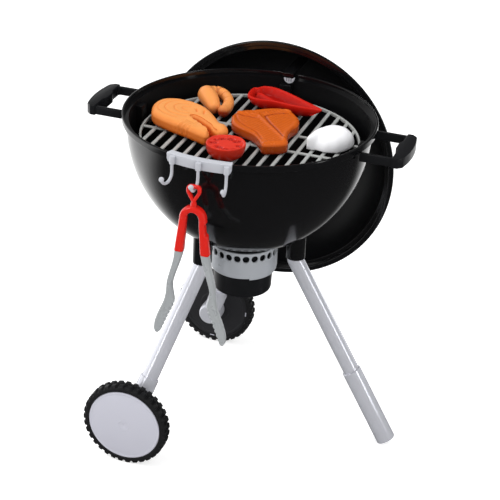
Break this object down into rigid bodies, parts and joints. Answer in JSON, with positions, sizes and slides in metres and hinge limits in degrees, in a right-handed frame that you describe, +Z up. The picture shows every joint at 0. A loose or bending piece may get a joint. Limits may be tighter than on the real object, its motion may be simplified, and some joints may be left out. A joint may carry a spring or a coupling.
{
  "type": "toy barbecue grill",
  "caption": "Toy kettle barbecue on a wheeled tripod stand, with a lid hung on the back of the bowl, tongs on a hook rail and play food lying on the grate.",
  "frame": {"origin": "middle of the floor area, at floor level, below the bowl", "axes": "+Z up, +X to the right along the side handles, +Y to the back, where the lid hangs"},
  "size_m": [0.3918, 0.4418, 0.4289],
  "materials": {
    "bowl_black": "glossy black moulded plastic",
    "matt_black": "dull charcoal moulded plastic",
    "grate_grey": "silver grey moulded plastic, satin",
    "rail_grey": "pale silver grey plastic, satin",
    "collar_silver": "silver plastic with a soft shine",
    "leg_silver": "silver painted plastic with a soft shine",
    "axle_steel": "plain steel",
    "tyre_black": "black moulded plastic with a rough tread",
    "hub_grey": "dark grey moulded plastic",
    "cap_grey": "pale grey plastic, satin",
    "tongs_red": "bright red glossy plastic",
    "jaw_grey": "blue grey plastic, satin",
    "salmon_orange": "light orange plastic with darker printed lines",
    "food_red": "red plastic with a soft shine",
    "steak_brown": "orange brown plastic",
    "onion_white": "white plastic, satin"
  },
  "bodies": {
    "stand_and_bowl": {"bowl": "bowl_black", "handle_left": "matt_black", "handle_right": "matt_black", "vent_drum": "matt_black", "ash_collar_left": "collar_silver", "ash_collar_right": "collar_silver", "ash_pot": "matt_black", "leg_right_tube": "leg_silver", "leg_front_tube": "leg_silver", "leg_rear_tube": "leg_silver", "leg_right_foot": "leg_silver", "leg_front_knee": "leg_silver", "leg_rear_knee": "leg_silver", "axle_front": "axle_steel", "axle_rear": "axle_steel"},
    "wheel_front": {"wheel_front_tyre": "tyre_black", "wheel_front_hub": "hub_grey", "wheel_front_cap": "cap_grey"},
    "wheel_rear": {"wheel_rear_tyre": "tyre_black", "wheel_rear_hub": "hub_grey", "wheel_rear_cap": "cap_grey"},
    "cooking_grate": {"grate": "grate_grey"},
    "rack": {"hook_rail": "rail_grey"},
    "tongs": {"tongs_bow": "tongs_red"},
    "tongs_left": {"tongs_arm_left": "tongs_red", "tongs_jaw_left": "jaw_grey"},
    "tongs_right": {"tongs_arm_right": "tongs_red", "tongs_jaw_right": "jaw_grey"},
    "lid": {"lid_shell": "bowl_black", "lid_handle": "matt_black", "lid_vent": "collar_silver", "lid_hook": "rail_grey"},
    "food_salmon_steak": {"salmon_steak": "salmon_orange"},
    "food_prawn": {"prawn": "salmon_orange"},
    "food_tomato_half": {"tomato_half": "food_red"},
    "food_beef_steak": {"beef_steak": "steak_brown"},
    "food_pepper_half": {"pepper_half": "food_red"},
    "food_onion_half": {"onion_half": "onion_white"}
  },
  "joints": [
    {"name": "wheel_front_spin", "type": "hinge", "parent": "stand_and_bowl", "child": "wheel_front", "pos_m": [-0.08971, -0.20003, 0.05164], "axis": [0, 1, 0], "continuous": true},
    {"name": "wheel_rear_spin", "type": "hinge", "parent": "stand_and_bowl", "child": "wheel_rear", "pos_m": [-0.08971, 0.10356, 0.05164], "axis": [0, 1, 0], "continuous": true},
    {"name": "grate_lift", "type": "slide", "parent": "stand_and_bowl", "child": "cooking_grate", "axis": [0, 0, 1], "range_m": [0, 0.15]},
    {"name": "lid_lift", "type": "slide", "parent": "stand_and_bowl", "child": "lid", "axis": [0, 0, 1], "range_m": [0, 0.3]},
    {"name": "rack_lift", "type": "slide", "parent": "stand_and_bowl", "child": "rack", "axis": [0, 0, 1], "range_m": [0, 0.06]},
    {"name": "tongs_swing", "type": "hinge", "parent": "rack", "child": "tongs", "pos_m": [-0.01132, -0.20864, 0.36844], "axis": [0, 1, 0], "range_deg": [-20, 20]},
    {"name": "tongs_right_squeeze", "type": "hinge", "parent": "tongs", "child": "tongs_right", "pos_m": [-0.00032, -0.20864, 0.33594], "axis": [0, 1, 0], "range_deg": [0, 9.5], "stiffness_Nm_per_rad": 0.1, "springref_deg": -17.19},
    {"name": "tongs_left_squeeze", "type": "hinge", "parent": "tongs", "child": "tongs_left", "pos_m": [-0.02232, -0.20864, 0.33594], "axis": [0, -1, 0], "range_deg": [0, 9.5], "stiffness_Nm_per_rad": 0.1, "springref_deg": -17.19},
    {"name": "salmon_steak_lift", "type": "slide", "parent": "cooking_grate", "child": "food_salmon_steak", "axis": [0, 0, 1], "range_m": [0, 0.1]},
    {"name": "prawn_lift", "type": "slide", "parent": "cooking_grate", "child": "food_prawn", "axis": [0, 0, 1], "range_m": [0, 0.1]},
    {"name": "tomato_half_lift", "type": "slide", "parent": "cooking_grate", "child": "food_tomato_half", "axis": [0, 0, 1], "range_m": [0, 0.1]},
    {"name": "beef_steak_lift", "type": "slide", "parent": "cooking_grate", "child": "food_beef_steak", "axis": [0, 0, 1], "range_m": [0, 0.1]},
    {"name": "pepper_half_lift", "type": "slide", "parent": "cooking_grate", "child": "food_pepper_half", "axis": [0, 0, 1], "range_m": [0, 0.1]},
    {"name": "onion_half_lift", "type": "slide", "parent": "cooking_grate", "child": "food_onion_half", "axis": [0, 0, 1], "range_m": [0, 0.1]}
  ],
  "couplings": [
    {"joint": "tongs_left_squeeze", "follows": "tongs_right_squeeze", "ratio": 1}
  ]
}
